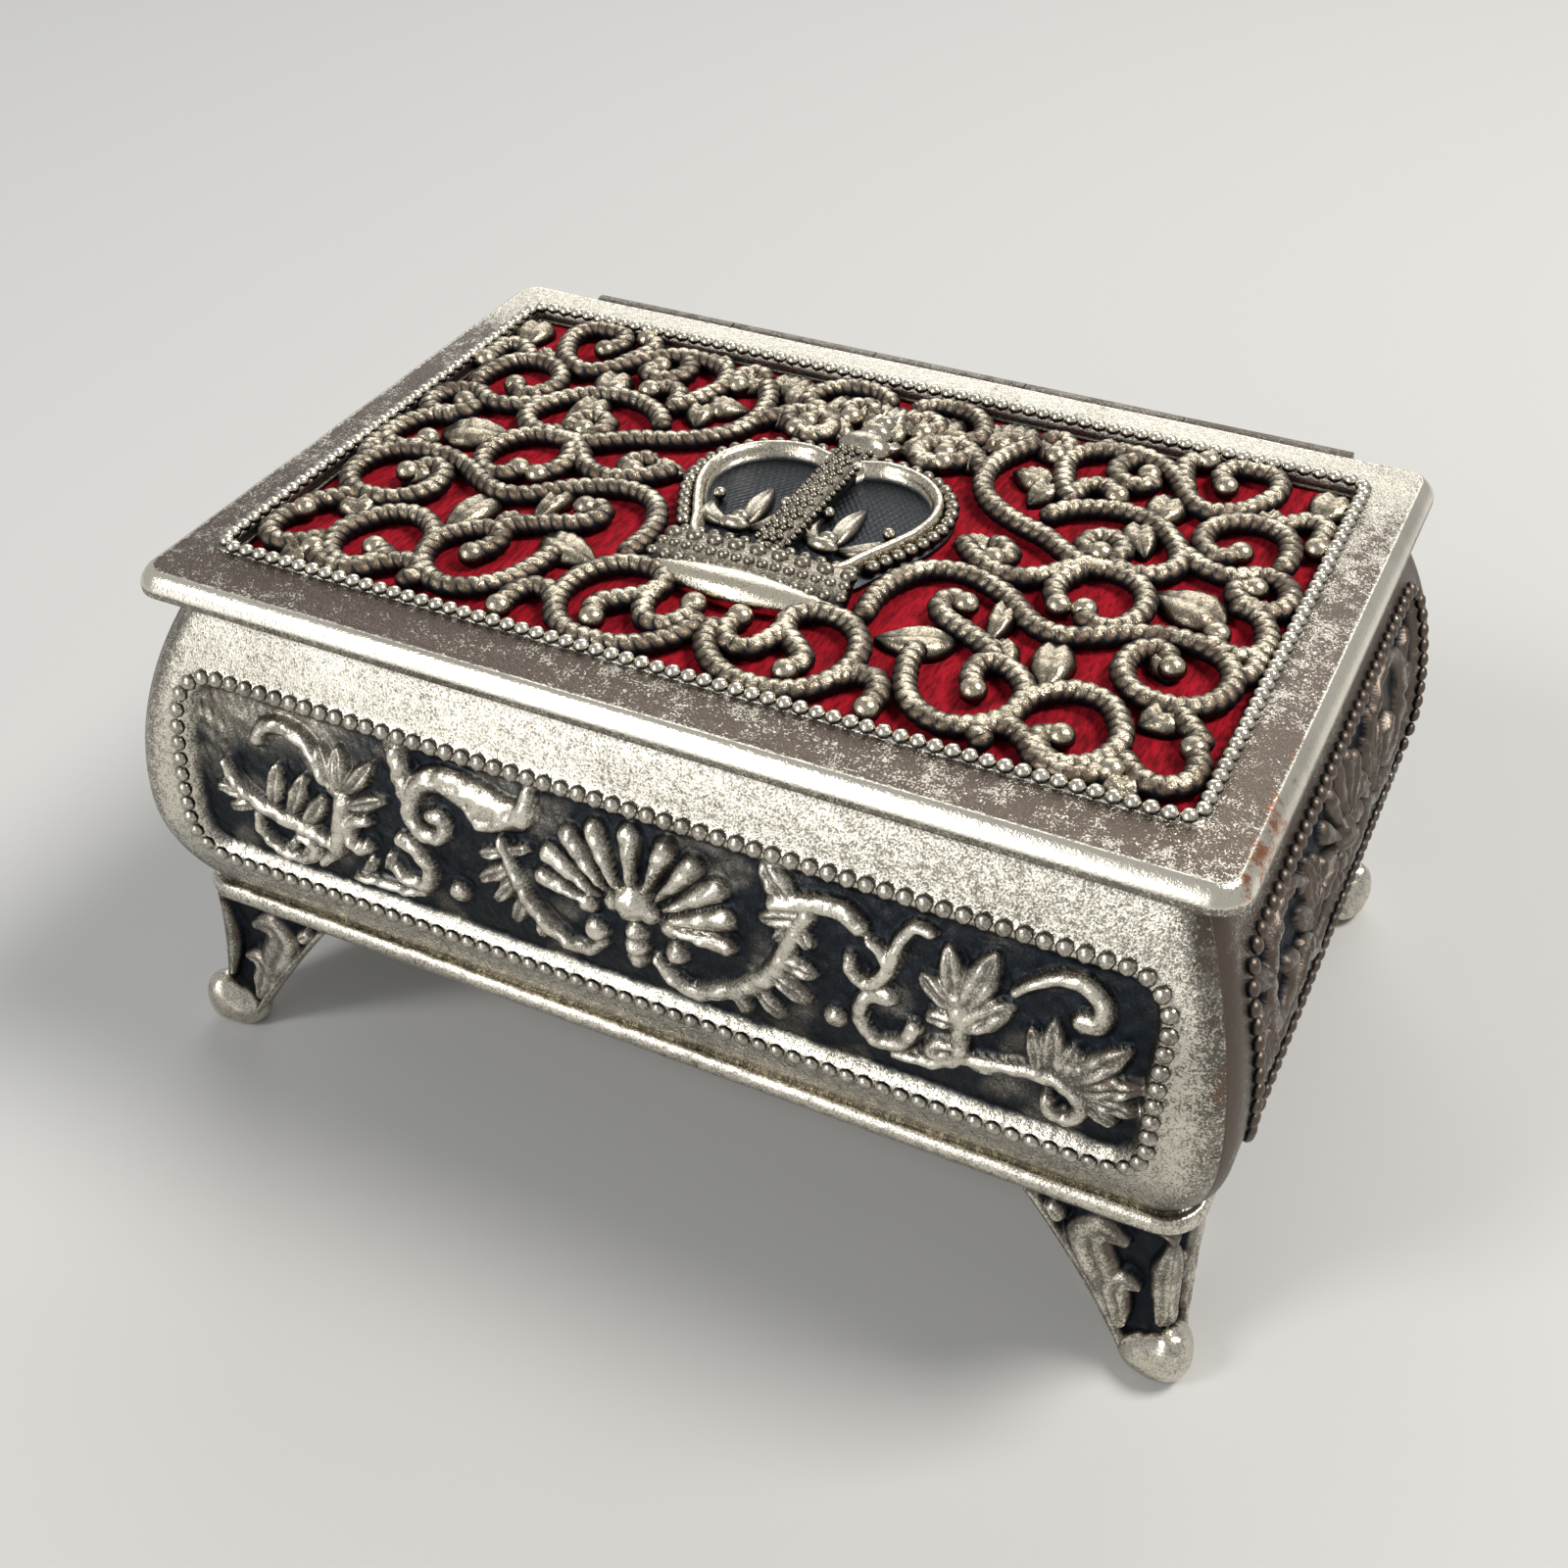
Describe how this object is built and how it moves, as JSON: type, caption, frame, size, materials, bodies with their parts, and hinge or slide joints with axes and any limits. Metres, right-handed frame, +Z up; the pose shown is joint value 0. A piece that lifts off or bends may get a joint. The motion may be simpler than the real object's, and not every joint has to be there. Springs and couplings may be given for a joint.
{
  "type": "trinket box",
  "caption": "Footed trinket casket of cast plated metal, with swelling sides, a velvet lining and a hinged lid of pierced scrollwork over velvet.",
  "frame": {"origin": "on the table, under the middle of the box", "axes": "+Z up, +X along the length to the right seen from the front, front towards -Y, hinge at +Y"},
  "size_m": [0.1058, 0.072, 0.0569],
  "materials": {
    "plated_cast": "worn silver plate on cast white metal, blackened in the recesses",
    "plated_scrollwork": "worn silver plate on cast scrollwork, blackened in the recesses",
    "hinge_metal": "tarnished plated brass",
    "velvet": "crimson velvet",
    "card": "grey backing card"
  },
  "bodies": {
    "box": {"front_wall": "plated_cast", "back_wall": "plated_cast", "left_wall": "plated_cast", "right_wall": "plated_cast", "base_plate": "plated_cast", "foot_front_left": "plated_cast", "foot_front_right": "plated_cast", "foot_back_left": "plated_cast", "foot_back_right": "plated_cast", "lining_floor": "velvet", "lining_front": "velvet", "lining_back": "velvet", "lining_left": "velvet", "lining_right": "velvet", "hinge_body_leaf": "hinge_metal", "hinge_pin": "hinge_metal"},
    "lid": {"lid_frame": "plated_cast", "lid_filigree": "plated_scrollwork", "lid_crown": "plated_scrollwork", "lid_velvet": "velvet", "lid_board": "card", "lid_lining": "velvet", "hinge_lid_leaf": "hinge_metal"}
  },
  "joints": [
    {"name": "lid_hinge", "type": "hinge", "parent": "box", "child": "lid", "pos_m": [0, 0.0345, 0.0522], "axis": [-1, 0, 0], "range_deg": [0, 105]}
  ]
}
